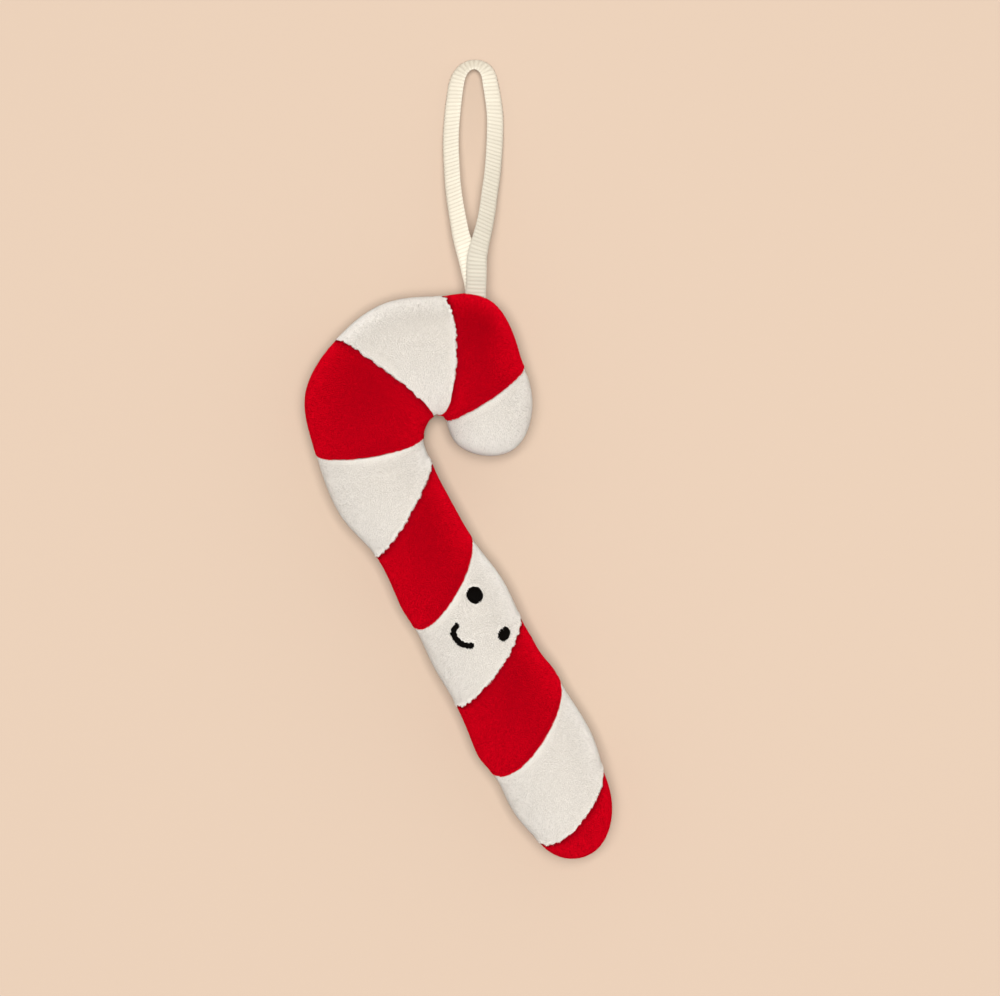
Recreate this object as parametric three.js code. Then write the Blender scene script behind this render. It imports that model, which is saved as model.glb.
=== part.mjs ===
// A stuffed plush candy cane with a smiling face, hung from a ribbon loop.
//
// Millimetres, +Z up. The cane lies on its back with the face up: the straight shaft runs along Y,
// the hook curls over towards +X at the top, and the ribbon loop leaves the crown of the hook.
// The origin is under the middle of the stuffed body, on the surface that it lies on.
//
// The body is one stuffed tube sewn from ten panels of red and white plush. Each panel is a solid
// of its own, from one seam to the next. A seam is a slanted ring round the tube.

import * as THREE from "three";

// ---- Driving dimensions ----------------------------------------------------------------------

const MID_HEIGHT = 11.4; // from the resting surface up to the middle of the tube
const SEAM_DEPTH = 11.6; // half the tube's thickness at a seam, where the panels pull in
const BELLY_DEPTH = 12.2; // half its thickness halfway between two seams
const SEAM_GAP = 0.3; // clear space between two panels
const FACE_GAP = 0.3; // clear space between the plush and the stitching of the face

const SIDES = 36; // points round the tube
const RINGS = 8; // steps along one panel

// The seams in order, from the tip of the hook to the foot of the shaft. Each one crosses the
// outer edge of the cane and its inner edge, and on the face side its crown sags off the straight
// line between them. On the back it sags the other way, so that the ring is flat and slanted.
const SEAMS = [
  { outer: [26.9, 39.8], inner: [4.4, 38.4], sag: [0, -2.4] },
  { outer: [17.9, 64.8], inner: [3.7, 39.9], sag: [3.8, -2.2] },
  { outer: [-9.4, 68.1], inner: [2.2, 40.5], sag: [1.2, 0.5] },
  { outer: [-27.0, 46.8], inner: [-2.1, 37.5], sag: [-1.0, -2.7] },
  { outer: [-26.7, 17.9], inner: [-3.4, 31.1], sag: [0, -2.9] },
  { outer: [-26.5, -0.6], inner: [-4.0, 11.2], sag: [0, -4.8] },
  { outer: [-27.6, -22.8], inner: [-3.2, -12.3], sag: [0, -3.9] },
  { outer: [-27.5, -41.4], inner: [-2.7, -30.4], sag: [0, -5.7] },
  { outer: [-26.4, -60.9], inner: [-4.1, -53.1], sag: [0, -5.1] },
];

// Where the two edges run halfway along each panel that lies between two seams.
const BELLIES = [
  { outer: [27.8, 57.5], inner: [4.2, 39.2] },
  { outer: [4.7, 69.9], inner: [3.1, 40.3] },
  { outer: [-21.8, 60.5], inner: [0.2, 39.3] },
  { outer: [-29.3, 31.0], inner: [-3.0, 34.5] },
  { outer: [-26.8, 8.5], inner: [-4.0, 19.0] },
  { outer: [-27.7, -12.0], inner: [-2.6, -1.5] },
  { outer: [-28.3, -33.0], inner: [-2.9, -20.5] },
  { outer: [-28.1, -51.5], inner: [-2.4, -44.0] },
];

// Both ends of the tube are rounded off towards -Y: from the shoulder, where the narrowing starts,
// to the pole. Between its seam and its pole an end swells by its fullness, and swings along X.
const HOOK_END = { pole: [14.3, 23.8], shoulder: 39.8, fullness: 0.09, swing: -0.8 };
const SHAFT_END = { pole: [-16.6, -70.0], shoulder: -53.0, fullness: 0.02, swing: 0 };

const PANEL_COUNT = SEAMS.length + 1;

// The face is stitched on the seventh panel, with its top towards +X.
const FACE_PANEL = 6; // counted from zero
const EYES = [
  { name: "eye_hook_side", place: [-10.5, -1.8], radius: 1.95 },
  { name: "eye_foot_side", place: [-8.9, -13.4], radius: 1.7 },
];
const EYE_HEIGHT = 0.7;
const SMILE = { centre: [-16.3, -8.95], radius: 2.95, from: 103, to: 271, thread: 0.6 };

// A 5 mm woven ribbon, folded into a loop that is sewn into the seam at the crown of the hook.
const RIBBON = {
  width: 5.0,
  thick: 0.7,
  bevel: 0.15,
  stepsPerKey: 3,
  foot: [25.55, 61.4], // where the two ends leave the plush
  lean: 29.5, // degrees from +Y towards +X
};
// The loop's middle line: distance to its right as seen from the face side, distance along it,
// height over the resting surface, and tilt. The tilt is how far, in degrees, the tape's outer face
// is turned up from the loop's rim towards the face side. At 90 it lies flat.
const STRAND_UP = [
  [0.15, 0, 11.85, 90],
  [0.25, 2.06, 11.85, 90],
  [0.35, 5.19, 11.8, 86],
  [0.5, 8.44, 11.6, 74],
  [1.25, 12.04, 10.82, 63],
  [2.15, 15.71, 9.81, 56],
  [2.9, 19.63, 8.61, 53],
  [3.55, 24.61, 7.29, 52],
  [4.1, 28.55, 6.23, 52],
  [4.51, 33.49, 4.95, 52],
  [4.76, 38.47, 3.84, 53],
  [4.76, 43.42, 3.02, 53],
  [4.31, 47.54, 2.62, 52],
  [3.7, 51.05, 2.55, 50],
  [3.3, 53, 2.55, 47],
  [2.6, 54.5, 2.55, 44],
  [1.4, 55.5, 2.55, 38],
];
const LOOP_TOP = [-0.2, 55.9, 2.55, 33];
const STRAND_DOWN = [
  [-1.75, 55.55, 2.55, 35],
  [-3, 54.65, 2.55, 39],
  [-3.95, 53.2, 2.55, 44],
  [-4.6, 51.2, 2.55, 49],
  [-5.31, 46.37, 2.7, 51],
  [-5.81, 40.95, 3.39, 51],
  [-5.96, 36.48, 4.26, 51],
  [-5.76, 31.49, 5.45, 51],
  [-5.45, 26.56, 6.76, 51],
  [-4.9, 22.12, 7.96, 52],
  [-4.15, 17.64, 9, 54],
  [-3.4, 13.77, 9.63, 58],
  [-2.85, 11.89, 9.84, 64],
  [-1.7, 8.44, 10.2, 79],
  [-0.82, 5, 10.72, 88],
  [-0.2, 2.45, 10.94, 90],
  [0.1, 0, 10.95, 90],
];

// ---- Materials -------------------------------------------------------------------------------

const cloth = (color, roughness = 0.95) =>
  new THREE.MeshStandardMaterial({ color, roughness, metalness: 0 });

const WHITE_PLUSH = "#efe8df";
const RED_PLUSH = "#bb0a1c";
const BLACK_THREAD = "#14110e";
const RIBBON_CREAM = "#f3ecdb";

// ---- The stuffed tube ------------------------------------------------------------------------

const flat = ([x, y]) => new THREE.Vector3(x, y, 0);
const UP = new THREE.Vector3(0, 0, 1);
const DEGREE = Math.PI / 180;

// The two edges, as smooth curves through every seam and every belly in turn.
const edge = (side) => {
  const inTurn = SEAMS.flatMap((seam, i) => (BELLIES[i] ? [seam, BELLIES[i]] : [seam]));
  return new THREE.CatmullRomCurve3(inTurn.map((keys) => flat(keys[side])));
};
const outerEdge = edge("outer");
const innerEdge = edge("inner");

// A ring round the tube at station t, where seam number k lies at t = k. It is an ellipse about
// centre, with half its chord and its crown as the two axes.
function ring(t) {
  const along = (t - 1) / (SEAMS.length - 1);
  const outer = outerEdge.getPoint(along);
  const inner = innerEdge.getPoint(along);
  const before = Math.min(Math.floor(t), SEAMS.length - 1);
  const sag = flat(SEAMS[before - 1].sag).lerp(flat(SEAMS[before].sag), t - before);
  const depth = SEAM_DEPTH + (BELLY_DEPTH - SEAM_DEPTH) * Math.sin(Math.PI * t) ** 2;
  return {
    centre: outer.clone().add(inner).multiplyScalar(0.5).setZ(MID_HEIGHT),
    chord: inner.clone().sub(outer).multiplyScalar(0.5),
    crown: sag.addScaledVector(UP, depth),
  };
}

const ringPoint = ({ centre, chord, crown }, angle) =>
  centre.clone().addScaledVector(chord, Math.cos(angle)).addScaledVector(crown, Math.sin(angle));

const angles = Array.from({ length: SIDES }, (_, i) => (2 * Math.PI * i) / SIDES);
const ringPoints = (r) => angles.map((angle) => ringPoint(r, angle));

// The tube rests on the surface, which presses a narrow flat into whatever would pass below it.
const rested = (points) => points.map((p) => p.setZ(Math.max(p.z, 0)));

// The ring at seam k, moved off the seam by half the gap: side is -1 for the panel before the
// seam and +1 for the panel after it.
function seamPoints(k, side) {
  const r = ring(k);
  const ahead = new THREE.Vector3().crossVectors(r.chord, r.crown).normalize();
  const shift = ahead.multiplyScalar((side * SEAM_GAP) / 2);
  return ringPoints(r).map((p) => p.add(shift));
}

// How wide a rounded end still is at height y, as a share of its full width.
function roundedShare({ pole, shoulder }, y) {
  const past = THREE.MathUtils.clamp((shoulder - y) / (shoulder - pole[1]), 0, 1);
  return Math.sqrt(1 - past * past);
}

// The rings from an end's seam towards its pole, and the pole itself.
function endRings(end, seam) {
  const pole = flat(end.pole).setZ(MID_HEIGHT);
  const start = seam.reduce((sum, p) => sum.add(p), new THREE.Vector3()).divideScalar(seam.length);
  const rings = [];
  for (let i = 0; i < RINGS; i++) {
    const share = Math.sin((i / RINGS) * 90 * DEGREE);
    const halfway = Math.sin(Math.PI * share);
    const fullness = 1 + end.fullness * halfway;
    const middle = start.clone().lerp(pole, share);
    rings.push(
      seam.map((p) => {
        const y = THREE.MathUtils.lerp(p.y, end.pole[1], share);
        const width = (fullness * roundedShare(end, y)) / roundedShare(end, p.y);
        return new THREE.Vector3(
          middle.x + end.swing * halfway + (p.x - start.x) * width,
          y,
          MID_HEIGHT + (p.z - MID_HEIGHT) * width,
        );
      }),
    );
  }
  return { rings, pole };
}

// A closed solid from a row of rings with equally many points. A pole closes an end with a point,
// and where there is none the end is closed flat.
function solid(rings, firstPole = null, lastPole = null) {
  const sides = rings[0].length;
  const points = rings.flat();
  const triangles = [];
  const at = (i, j) => i * sides + (j % sides);
  for (let i = 0; i + 1 < rings.length; i++)
    for (let j = 0; j < sides; j++)
      triangles.push(
        [at(i, j), at(i, j + 1), at(i + 1, j + 1)],
        [at(i, j), at(i + 1, j + 1), at(i + 1, j)],
      );
  const middleOf = (row) =>
    row.reduce((sum, p) => sum.add(p), new THREE.Vector3()).divideScalar(row.length);
  const first = points.push(firstPole ?? middleOf(rings[0])) - 1;
  const last = points.push(lastPole ?? middleOf(rings[rings.length - 1])) - 1;
  for (let j = 0; j < sides; j++)
    triangles.push(
      [first, at(0, j + 1), at(0, j)],
      [last, at(rings.length - 1, j), at(rings.length - 1, j + 1)],
    );
  const geometry = new THREE.BufferGeometry().setFromPoints(points);
  geometry.setIndex(triangles.flat());
  geometry.computeVertexNormals();
  return geometry;
}

const skin = (rings, firstPole, lastPole) => solid(rings.map(rested), firstPole, lastPole);

function panelGeometry(index) {
  if (index === 0) {
    const { rings, pole } = endRings(HOOK_END, seamPoints(1, -1));
    return skin(rings.reverse(), pole, null);
  }
  if (index === PANEL_COUNT - 1) {
    const { rings, pole } = endRings(SHAFT_END, seamPoints(SEAMS.length, 1));
    return skin(rings, null, pole);
  }
  const between = Array.from({ length: RINGS - 1 }, (_, i) =>
    ringPoints(ring(index + (i + 1) / RINGS)),
  );
  return skin([seamPoints(index, 1), ...between, seamPoints(index + 1, -1)]);
}

function panel(index) {
  const red = index % 2 === 1;
  const mesh = new THREE.Mesh(panelGeometry(index), cloth(red ? RED_PLUSH : WHITE_PLUSH));
  const number = String(index + 1).padStart(2, "0");
  mesh.name = `panel_${number}_${red ? "red" : "white"}`;
  return mesh;
}

// ---- The face --------------------------------------------------------------------------------

// The point of the plush right under a place in plan, and the way the plush faces there.
function onPlush(plush, [x, y]) {
  const above = new THREE.Vector3(x, y, 4 * MID_HEIGHT);
  const [hit] = new THREE.Raycaster(above, UP.clone().negate()).intersectObject(plush);
  return { point: hit.point, normal: hit.face.normal };
}

// A low dome of stitches that follows the plush.
function eye(plush, { name, place, radius }) {
  const outline = [
    [0, 0],
    [radius, 0],
    [radius, EYE_HEIGHT * 0.4],
    [radius * 0.7, EYE_HEIGHT * 0.85],
    [0, EYE_HEIGHT],
  ].map(([r, h]) => new THREE.Vector2(r, h));
  const mesh = new THREE.Mesh(new THREE.LatheGeometry(outline, 20), cloth(BLACK_THREAD, 0.5));
  const { point, normal } = onPlush(plush, place);
  const sink = radius ** 2 / (2 * SEAM_DEPTH);
  mesh.name = name;
  mesh.position.copy(point).addScaledVector(normal, FACE_GAP - sink * 0.2);
  mesh.quaternion.setFromUnitVectors(new THREE.Vector3(0, 1, 0), normal);
  return mesh;
}

function smile(plush) {
  const { centre, radius, from, to, thread } = SMILE;
  const stops = 9;
  const path = Array.from({ length: stops }, (_, i) => {
    const angle = (from + ((to - from) * i) / (stops - 1)) * DEGREE;
    const place = [centre[0] + radius * Math.cos(angle), centre[1] + radius * Math.sin(angle)];
    const { point, normal } = onPlush(plush, place);
    return point.addScaledVector(normal, FACE_GAP + thread);
  });
  const section = new THREE.Shape().absarc(0, 0, thread, 0, 2 * Math.PI);
  const geometry = new THREE.ExtrudeGeometry(section, {
    extrudePath: new THREE.CatmullRomCurve3(path),
    steps: 24,
    curveSegments: 5,
  });
  const mesh = new THREE.Mesh(geometry, cloth(BLACK_THREAD, 0.5));
  mesh.name = "smile";
  return mesh;
}

// ---- The ribbon loop -------------------------------------------------------------------------

// The loop is drawn along +Y from its foot, and then turned into its place.
function ribbonLoop() {
  const { width, thick, bevel, stepsPerKey, foot, lean } = RIBBON;
  const keys = [...STRAND_UP, LOOP_TOP, ...STRAND_DOWN];
  const path = new THREE.CatmullRomCurve3(keys.map(([x, y, z]) => new THREE.Vector3(x, y, z)));
  const [w, h] = [width / 2, thick / 2];
  const corners = [
    [w - bevel, -h],
    [w, bevel - h],
    [w, h - bevel],
    [w - bevel, h],
    [bevel - w, h],
    [-w, h - bevel],
    [-w, bevel - h],
    [bevel - w, -h],
  ];
  const steps = (keys.length - 1) * stepsPerKey;
  const rings = Array.from({ length: steps + 1 }, (_, i) => {
    const place = i / stepsPerKey;
    const before = Math.min(Math.floor(place), keys.length - 2);
    const [low, high] = [keys[before][3], keys[before + 1][3]];
    const tilt = THREE.MathUtils.lerp(low, high, place - before) * DEGREE;
    const point = path.getPoint(i / steps);
    const ahead = path.getTangent(i / steps);
    const rim = new THREE.Vector3().crossVectors(ahead, UP).normalize();
    const faceUp = new THREE.Vector3().crossVectors(rim, ahead).normalize();
    const [cos, sin] = [Math.cos(tilt), Math.sin(tilt)];
    const across = faceUp.clone().multiplyScalar(cos).addScaledVector(rim, -sin);
    const facing = faceUp.clone().multiplyScalar(sin).addScaledVector(rim, cos);
    return corners.map(([x, y]) =>
      point.clone().addScaledVector(across, x).addScaledVector(facing, y),
    );
  });
  const mesh = new THREE.Mesh(solid(rings), cloth(RIBBON_CREAM, 0.7));
  mesh.name = "ribbon_loop";
  mesh.position.set(...foot, 0);
  mesh.rotation.z = -lean * DEGREE;
  return mesh;
}

// ---- The whole ornament ----------------------------------------------------------------------

const ornament = new THREE.Group();
const panels = Array.from({ length: PANEL_COUNT }, (_, index) => panel(index));
const facePlush = panels[FACE_PANEL];
ornament.add(...panels);
ornament.add(...EYES.map((spec) => eye(facePlush, spec)), smile(facePlush));
ornament.add(ribbonLoop());

export default ornament;
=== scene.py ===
# %% [markdown]
# # A stuffed candy cane with a stitched smile
#
# This lesson dresses a small soft toy: ten puffed panels of short-pile plush, red and white in turn, a face
# stitched in black thread, and a loop of ribbed cream ribbon to hang it by. The frame holds the toy's solids
# at their real size. The pieces made here lie in the same places and are seen instead of them.

# %% The frame
import math

import bmesh
import bpy
import numpy as np
from mathutils import Matrix, Vector
from mathutils.bvhtree import BVHTree


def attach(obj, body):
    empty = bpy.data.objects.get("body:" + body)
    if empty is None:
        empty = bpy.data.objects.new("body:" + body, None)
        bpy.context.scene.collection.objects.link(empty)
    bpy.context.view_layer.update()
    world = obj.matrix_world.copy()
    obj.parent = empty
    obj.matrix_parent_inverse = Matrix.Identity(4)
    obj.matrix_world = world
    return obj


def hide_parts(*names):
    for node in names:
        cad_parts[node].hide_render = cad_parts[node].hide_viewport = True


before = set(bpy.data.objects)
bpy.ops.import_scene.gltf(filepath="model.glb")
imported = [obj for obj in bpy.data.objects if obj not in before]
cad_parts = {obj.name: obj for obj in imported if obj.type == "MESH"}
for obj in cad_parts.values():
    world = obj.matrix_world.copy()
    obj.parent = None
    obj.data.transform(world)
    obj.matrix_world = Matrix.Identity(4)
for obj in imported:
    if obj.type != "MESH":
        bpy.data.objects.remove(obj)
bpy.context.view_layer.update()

MM = 0.001
print("solids to dress:", len(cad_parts))

# %% [markdown]
# ## The camera
#
# The toy lies on its back, so the camera hangs above it and looks straight down. A long lens far away keeps
# the tube's edges square on, as a product shot does. The camera is rolled about its own axis instead of
# turning the toy, because the toy has to stay where its solids are.

# %% The camera
SCENE = bpy.context.scene
SENSOR = 0.036
LENS = 0.135
VIEW_WIDTH = 0.2406  # how much the camera takes in from side to side, at the height of the tube's middle
VIEW_MIDDLE = (0.00642, 0.01544)
VIEW_ROLL = math.radians(-29.5)
MID_HEIGHT = 0.0114

camera_data = bpy.data.cameras.new("camera")
camera_data.sensor_width = SENSOR / MM
camera_data.lens = LENS / MM
camera_data.clip_end = 10
camera = bpy.data.objects.new("camera", camera_data)
SCENE.collection.objects.link(camera)
camera.location = (*VIEW_MIDDLE, MID_HEIGHT + VIEW_WIDTH * LENS / SENSOR)
camera.rotation_euler = (0, 0, VIEW_ROLL)
SCENE.camera = camera
SCENE.view_settings.view_transform = "Standard"
print("camera height, metres:", round(camera.location.z, 3))

# %% [markdown]
# ## Node trees in a few words
#
# Materials and Geometry Nodes are both trees of nodes. The first helper adds one node, sets its options, and
# fills its inputs: a value goes into the socket and another node's output is linked to it. Sockets that the
# node's options switch off are passed over, as several of them can share one name. The others are short ways
# to write the nodes that come up most often.

# %% One node
def pick(sockets, key):
    """The socket of that name among those in use, or the one at that number."""
    if isinstance(key, int):
        return sockets[key]
    return next(s for s in sockets if s.enabled and s.name == key)


def node(tree, kind, inputs=None, out=0, **options):
    """Adds a node and returns its output of that name or number."""
    made = tree.nodes.new(kind)
    for name, value in options.items():
        setattr(made, name, value)
    for key, value in (inputs or {}).items():
        socket = pick(made.inputs, key)
        if isinstance(value, bpy.types.NodeSocket):
            tree.links.new(value, socket)
        else:
            socket.default_value = value
    return pick(made.outputs, out)

# %% Short ways to write the common nodes
def maths(tree, operation, *values, clamped=False):
    """One sum, such as ADD or POWER."""
    return node(tree, "ShaderNodeMath", dict(enumerate(values)), operation=operation, use_clamp=clamped)


def vectors(tree, operation, first, second=None):
    """One sum on vectors. SCALE takes a number second, and DOT_PRODUCT and LENGTH give a number."""
    inputs = {0: first}
    if second is not None:
        inputs["Scale" if operation == "SCALE" else 1] = second
    out = "Value" if operation in ("DOT_PRODUCT", "LENGTH") else 0
    return node(tree, "ShaderNodeVectorMath", inputs, out, operation=operation)


def parts(tree, vector):
    """The three numbers of a vector."""
    return [node(tree, "ShaderNodeSeparateXYZ", {0: vector}, out=i) for i in range(3)]


def mixed(tree, share, first, second):
    """A colour between two others."""
    return node(tree, "ShaderNodeMix", {0: share, 6: first, 7: second}, data_type="RGBA", out=2)

# %% Starting and finishing a material
def principled(name):
    """A new material, its tree and its main shader."""
    material = bpy.data.materials.new(name)
    material.use_nodes = True
    tree = material.node_tree
    return material, tree, tree.nodes["Principled BSDF"]


def finish_shader(tree, shader, colour, bump, roughness, specular):
    """Links what changes over the surface, and sets what is the same all over it."""
    tree.links.new(colour, shader.inputs["Base Color"])
    if bump:
        tree.links.new(node(tree, "ShaderNodeBump", bump), shader.inputs["Normal"])
    shader.inputs["Roughness"].default_value = roughness
    shader.inputs["Specular IOR Level"].default_value = specular


def rgb(red, green, blue):
    """A colour from its usual 0 to 255 numbers, as the linear one that shaders work in."""
    shares = [c / 255 for c in (red, green, blue)]
    return (*[c / 12.92 if c <= 0.04045 else ((c + 0.055) / 1.055) ** 2.4 for c in shares], 1)


print("mid grey, linear:", round(rgb(128, 128, 128)[0], 3))

# %% [markdown]
# ## The floor
#
# The floor is one plain warm sheet. Deep pile swallows much of the light that falls into it. So the light
# here is twice as strong as the sheet alone would need, and the sheet is dyed half as bright to make up for
# it.

# %% The floor
FLOOR_SIZE = 3.0
FLOOR_LOOK = rgb(237, 211, 188)
LIGHT_GAIN = 2.0  # how much stronger the light is than one that would show the sheet in its own colour

floor_material, _, floor_shader = principled("floor")
floor_shader.inputs["Base Color"].default_value = (*[share / LIGHT_GAIN for share in FLOOR_LOOK[:3]], 1)
floor_shader.inputs["Roughness"].default_value = 1.0
floor_shader.inputs["Specular IOR Level"].default_value = 0.0
half = FLOOR_SIZE / 2
floor_corners = [(-half, -half, 0), (half, -half, 0), (half, half, 0), (-half, half, 0)]
floor_mesh = bpy.data.meshes.new("floor")
floor_mesh.from_pydata(floor_corners, [], [(0, 1, 2, 3)])
floor_mesh.materials.append(floor_material)
floor = bpy.data.objects.new("floor", floor_mesh)
SCENE.collection.objects.link(floor)
print("floor, metres across:", FLOOR_SIZE)

# %% [markdown]
# ## The light
#
# A lamp straight above gives most of the light, and its shadows fall under the toy, where this camera can't
# see them. The sky adds a fifth, more of it from low down and from the side of the hook. That light reaches
# the rounded rims of the toy but hardly counts on the floor, so the toy's own shade on the floor stays faint.

# %% The light
SKY_COLOUR = (1.0, 0.985, 0.97, 1)
SKY_ABOVE = 0.2
SKY_LOW = 1.5
SKY_SIDE = (0.945, 0.328, 0.0)  # which way the brighter side of the sky lies
SKY_ONE_SIDED = 0.3  # how much brighter that side is than the middle
LAMP_SIZE = 0.6
LAMP_HEIGHT = 1.5
LAMP_WATTS = 37.5

world = bpy.data.worlds.new("studio")
world.use_nodes = True
sky_tree = world.node_tree
sky = sky_tree.nodes["Background"]
direction = node(sky_tree, "ShaderNodeTexCoord", out="Generated")
upwards = node(sky_tree, "ShaderNodeSeparateXYZ", {0: direction}, out="Z")
low = maths(sky_tree, "POWER", maths(sky_tree, "SUBTRACT", 1.0, upwards, clamped=True), 2.0)
strength = node(sky_tree, "ShaderNodeMapRange", {"Value": low, "To Min": SKY_ABOVE, "To Max": SKY_LOW})
sided = vectors(sky_tree, "DOT_PRODUCT", direction, SKY_SIDE)
sided = maths(sky_tree, "MULTIPLY_ADD", sided, SKY_ONE_SIDED, 1.0)
sky_tree.links.new(maths(sky_tree, "MULTIPLY", strength, sided), sky.inputs["Strength"])
sky.inputs["Color"].default_value = SKY_COLOUR
SCENE.world = world

lamp_data = bpy.data.lights.new("soft box", "AREA")
lamp_data.size = LAMP_SIZE
lamp_data.energy = LAMP_WATTS
lamp = bpy.data.objects.new("soft box", lamp_data)
lamp.location = (*VIEW_MIDDLE, LAMP_HEIGHT)
SCENE.collection.objects.link(lamp)

# %% [markdown]
# ## A smooth curve through chosen points
#
# The toy's solids run along Catmull-Rom curves: each stretch leaves a point in the direction that its
# neighbours give. The centripetal kind, which spaces the stretches by the square root of their length,
# doesn't loop or overshoot where points lie close together. The same rule here puts every surface and the
# ribbon exactly where the solids are.

# %% Curves
def smooth_curve(keys, shares):
    """Points on the curve through the keys, at shares from 0 at the first key to 1 at the last."""
    keys = np.asarray(keys, float)
    keys = np.vstack([2 * keys[0] - keys[1], keys, 2 * keys[-1] - keys[-2]])
    place = np.clip(shares, 0, 1) * (len(keys) - 3)
    stretch = np.minimum(place.astype(int), len(keys) - 4)
    part = (place - stretch)[:, None]
    a, b, c, d = (keys[stretch + i] for i in range(4))
    gaps = [np.linalg.norm(q - p, axis=1, keepdims=True) ** 0.5 for p, q in ((a, b), (b, c), (c, d))]
    before, here, after = gaps
    leave = ((b - a) / before - (c - a) / (before + here) + (c - b) / here) * here
    arrive = ((c - b) / here - (d - b) / (here + after) + (d - c) / after) * here
    square, cube = part**2, part**3
    return (
        b * (2 * cube - 3 * square + 1)
        + c * (3 * square - 2 * cube)
        + leave * (cube - 2 * square + part)
        + arrive * (cube - square)
    )


def smooth_step(values, low, high):
    """0 below low, 1 above high, and an easy slope between them."""
    share = np.clip((values - low) / (high - low), 0, 1)
    return share * share * (3 - 2 * share)


def measured_curve(keys, count):
    """Many points on the curve through the keys, and how far along it each lies."""
    fine = smooth_curve(keys, np.linspace(0, 1, count))
    return fine, np.concatenate([[0], np.cumsum(np.linalg.norm(np.diff(fine, axis=0), axis=1))])


def unit(arrows):
    """Arrows of length one in the same directions."""
    return arrows / np.maximum(np.linalg.norm(arrows, axis=-1, keepdims=True), 1e-12)


print("halfway between two points:", smooth_curve([(0, 0, 0), (1, 0, 0)], [0.5])[0].round(3))

# %% [markdown]
# ## The ribbon's route
#
# The ribbon is a flat woven tape, 5 mm wide, folded once into a loop. It is a cord in its ways: it has one
# real length and goes where it is bent. Its middle line runs up one side and down the other, and sinks from
# the seam until its far end lies on the floor. Every point has a tilt as well: how far the tape's outer face
# is turned up from the rim of the loop towards the face side. A tape that starts flat and closes into a loop
# has to lean like that, like a slice of a cone. At the foot it lies flat, one end over the other, because the
# stitching holds it so.

# %% The ribbon's route
RIBBON_WIDTH = 0.0050
RIBBON_FOOT = Vector((0.02555, 0.0614, MID_HEIGHT))
LOOP_LEAN = math.radians(29.5)
LOOP = [  # how far right of the loop's middle, how far up it, height over the floor, tilt in degrees
    (0.00015, 0, 0.01185, 90), (0.00025, 0.00206, 0.01185, 90), (0.00035, 0.00519, 0.0118, 86),
    (0.0005, 0.00844, 0.0116, 74), (0.00125, 0.01204, 0.01082, 63), (0.00215, 0.01571, 0.00981, 56),
    (0.0029, 0.01963, 0.00861, 53), (0.00355, 0.02461, 0.00729, 52), (0.0041, 0.02855, 0.00623, 52),
    (0.00451, 0.03349, 0.00495, 52), (0.00476, 0.03847, 0.00384, 53), (0.00476, 0.04342, 0.00302, 53),
    (0.00431, 0.04754, 0.00262, 52), (0.0037, 0.05105, 0.00255, 50), (0.0033, 0.053, 0.00255, 47),
    (0.0026, 0.0545, 0.00255, 44), (0.0014, 0.0555, 0.00255, 38), (-0.0002, 0.0559, 0.00255, 33),
    (-0.00175, 0.05555, 0.00255, 35), (-0.003, 0.05465, 0.00255, 39),
    (-0.00395, 0.0532, 0.00255, 44), (-0.0046, 0.0512, 0.00255, 49), (-0.00531, 0.04637, 0.0027, 51),
    (-0.00581, 0.04095, 0.00339, 51), (-0.00596, 0.03648, 0.00426, 51),
    (-0.00576, 0.03149, 0.00545, 51), (-0.00545, 0.02656, 0.00676, 51), (-0.0049, 0.02212, 0.00796, 52),
    (-0.00415, 0.01764, 0.009, 54), (-0.0034, 0.01377, 0.00963, 58), (-0.00285, 0.01189, 0.00984, 64),
    (-0.0017, 0.00844, 0.0102, 79), (-0.00082, 0.005, 0.01072, 88), (-0.0002, 0.00245, 0.01094, 90),
    (0.0001, 0, 0.01095, 90),
]
TAPE_STEP = 0.00025
TUCK = 0.0015  # how far the two ends run on into the seam
FINE_POINTS = 4000

loop_turn = np.array(Matrix.Rotation(-LOOP_LEAN, 3, "Z"))
tucked = [(aside, along - TUCK, height, tilt) for aside, along, height, tilt in (LOOP[0], LOOP[-1])]
loop_keys = np.array([tucked[0], *LOOP, tucked[1]])


def even_route(keys, step):
    """Points a step apart on the line through the keys, each with its tilt, and how far along they lie."""
    fine, run = measured_curve(keys[:, :3], FINE_POINTS)
    tilts = np.interp(np.linspace(0, 1, FINE_POINTS) * (len(keys) - 1), range(len(keys)), keys[:, 3])
    stops = np.linspace(0, run[-1], int(round(run[-1] / step)) + 1)
    return np.stack([np.interp(stops, run, values) for values in (*fine.T, tilts)], 1), stops


def tape_frames(route):
    """The route in its place, with the way the tape runs, the way its width lies and the way it faces."""
    line, tilt = route[:, :3], np.radians(route[:, 3:])
    run = unit(np.gradient(line, axis=0))
    rim = unit(np.cross(run, (0, 0, 1)))
    face_up = np.cross(rim, run)
    across = face_up * np.cos(tilt) - rim * np.sin(tilt)
    facing = face_up * np.sin(tilt) + rim * np.cos(tilt)
    foot = np.array((*RIBBON_FOOT.xy, 0))
    return line @ loop_turn.T + foot, *(way @ loop_turn.T for way in (run, across, facing))


tape_route, tape_stops = even_route(loop_keys, TAPE_STEP)
ribbon_places, _, ribbon_across, ribbon_facing = tape_frames(tape_route)
print("lowest point of its middle line, mm:", round(ribbon_places[:, 2].min() / MM, 2))

# %% [markdown]
# ## Making meshes
#
# A mesh is a list of points and a list of faces that name their points by number. Numbers or vectors can be
# stored beside the points as named attributes, for materials and Geometry Nodes to read. A tree of Geometry
# Nodes is built once, given its sizes by name, and run on a simple mesh. The result is kept as a plain mesh.

# %% Helpers for meshes
def added(name, mesh):
    """A new object that shows this mesh."""
    made = bpy.data.objects.new(name, mesh)
    SCENE.collection.objects.link(made)
    return made


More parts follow.
